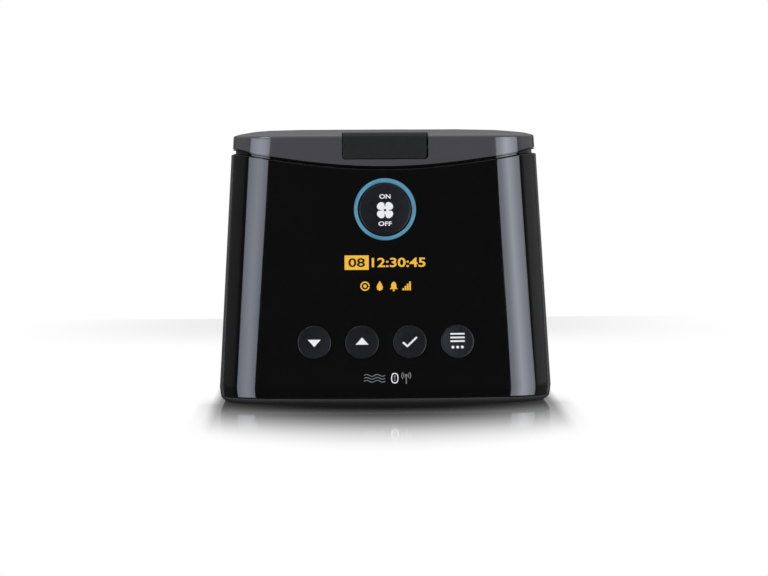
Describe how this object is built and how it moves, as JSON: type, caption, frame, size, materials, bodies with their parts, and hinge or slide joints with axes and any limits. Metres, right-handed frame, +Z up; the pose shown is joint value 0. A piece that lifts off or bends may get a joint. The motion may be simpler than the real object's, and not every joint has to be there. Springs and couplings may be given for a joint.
{
  "type": "cpap machine",
  "caption": "Bedside breathing-therapy machine with a built-in heated humidifier: hinged lid, glossy front with round keys, start button with a light ring, swivelling air outlet.",
  "frame": {"origin": "under the middle of the machine's length and width, on the surface it stands on", "axes": "+X to the right seen from the front, +Y from the front to the back, +Z up"},
  "size_m": [0.185, 0.272, 0.1505],
  "materials": {
    "gloss_black": "polished black plastic",
    "lid_charcoal": "charcoal plastic with a soft gloss",
    "case_charcoal": "fine-grained charcoal plastic",
    "latch_texture": "grained dark plastic",
    "key_black": "satin black plastic",
    "ring_blue": "blue translucent plastic, lit from behind",
    "inner_grey": "grey moulded plastic",
    "inner_black": "black moulded plastic",
    "clear_plastic": "clear moulded plastic",
    "silicone": "pale silicone rubber",
    "dark_rubber": "dark soft rubber",
    "steel": "plain steel",
    "aluminium": "satin",
    "brass": "plain",
    "board_green": "green circuit board",
    "display_glass": "dark display window",
    "foam_grey": "open-cell foam",
    "filter_white": "white filter fleece"
  },
  "bodies": {
    "case": {"main_shell": "case_charcoal", "front_fascia": "gloss_black", "base_tray": "case_charcoal", "foot_front_left": "dark_rubber", "foot_front_right": "dark_rubber", "foot_rear_left": "dark_rubber", "foot_rear_right": "dark_rubber", "case_screw_front_left": "steel", "case_screw_front_right": "steel", "case_screw_rear_left": "steel", "case_screw_rear_right": "steel", "light_ring": "ring_blue", "key_board": "board_green", "display_module": "display_glass", "chamber_bay": "inner_black", "heater_spring": "steel", "chamber_plate": "steel", "chamber_tub": "clear_plastic", "chamber_gasket": "silicone", "chamber_cover": "clear_plastic", "hinge_pin_left": "steel", "hinge_pin_right": "steel", "blower_lower": "inner_black", "blower_upper": "inner_black", "motor_stator": "brass", "bearing_lower": "steel", "bearing_upper": "steel", "blower_mount_1": "silicone", "blower_mount_2": "silicone", "blower_mount_3": "silicone", "inlet_muffler": "inner_grey", "muffler_foam": "foam_grey", "delivery_duct": "inner_grey", "outlet_duct": "inner_grey", "power_board": "board_green", "main_board": "board_green", "transformer": "brass", "capacitor": "inner_black", "mains_inlet": "inner_black", "mains_pin_left": "brass", "mains_pin_right": "brass", "service_socket": "steel"},
    "lid": {"lid_cover": "lid_charcoal", "lid_liner": "inner_grey", "lid_seal": "silicone", "latch_spring": "steel"},
    "latch": {"lid_latch": "latch_texture"},
    "start": {"start_button": "key_black"},
    "down": {"key_down": "key_black"},
    "up": {"key_up": "key_black"},
    "confirm": {"key_confirm": "key_black"},
    "menu": {"key_menu": "key_black"},
    "heater": {"heater_plate": "aluminium"},
    "rotor": {"impeller": "inner_grey", "motor_rotor": "steel"},
    "elbow": {"outlet_elbow": "inner_grey", "elbow_seal": "dark_rubber"},
    "filter": {"filter_door": "case_charcoal", "air_filter": "filter_white"},
    "service_flap": {"service_cover": "dark_rubber"}
  },
  "joints": [
    {"name": "lid_hinge", "type": "hinge", "parent": "case", "child": "lid", "pos_m": [0, 0.023, 0.1458], "axis": [-1, 0, 0], "range_deg": [0, 80]},
    {"name": "latch_press", "type": "slide", "parent": "lid", "child": "latch", "axis": [0, 1, 0], "range_m": [0, 0.002], "stiffness_N_per_m": 400, "springref_m": -0.003, "deforming": ["latch_spring"]},
    {"name": "start_press", "type": "slide", "parent": "case", "child": "start", "axis": [0, 0.9953, -0.097], "range_m": [0, 0.0008], "stiffness_N_per_m": 200, "springref_m": -0.002},
    {"name": "down_press", "type": "slide", "parent": "case", "child": "down", "axis": [0.0561, 0.9937, -0.0969], "range_m": [0, 0.0008], "stiffness_N_per_m": 200, "springref_m": -0.002},
    {"name": "up_press", "type": "slide", "parent": "case", "child": "up", "axis": [0.0187, 0.9951, -0.097], "range_m": [0, 0.0008], "stiffness_N_per_m": 200, "springref_m": -0.002},
    {"name": "confirm_press", "type": "slide", "parent": "case", "child": "confirm", "axis": [-0.0187, 0.9951, -0.097], "range_m": [0, 0.0008], "stiffness_N_per_m": 200, "springref_m": -0.002},
    {"name": "menu_press", "type": "slide", "parent": "case", "child": "menu", "axis": [-0.0561, 0.9937, -0.0969], "range_m": [0, 0.0008], "stiffness_N_per_m": 200, "springref_m": -0.002},
    {"name": "heater_float", "type": "slide", "parent": "case", "child": "heater", "axis": [0, 0, -1], "range_m": [0, 0.0015], "stiffness_N_per_m": 2000, "springref_m": -0.004, "deforming": ["heater_spring"]},
    {"name": "impeller_spin", "type": "hinge", "parent": "case", "child": "rotor", "pos_m": [-0.0341, 0.074, 0.0515], "axis": [0, 0, 1], "continuous": true},
    {"name": "elbow_swivel", "type": "hinge", "parent": "case", "child": "elbow", "pos_m": [0.0385, 0.104, 0.1151], "axis": [0, 0, -1], "range_deg": [-15, 110]},
    {"name": "filter_slide", "type": "slide", "parent": "case", "child": "filter", "axis": [0, 1, 0], "range_m": [0, 0.025]},
    {"name": "service_cover_hinge", "type": "hinge", "parent": "case", "child": "service_flap", "pos_m": [-0.09113, -0.071, 0.03311], "axis": [0, -1, 0], "range_deg": [0, 100]}
  ]
}
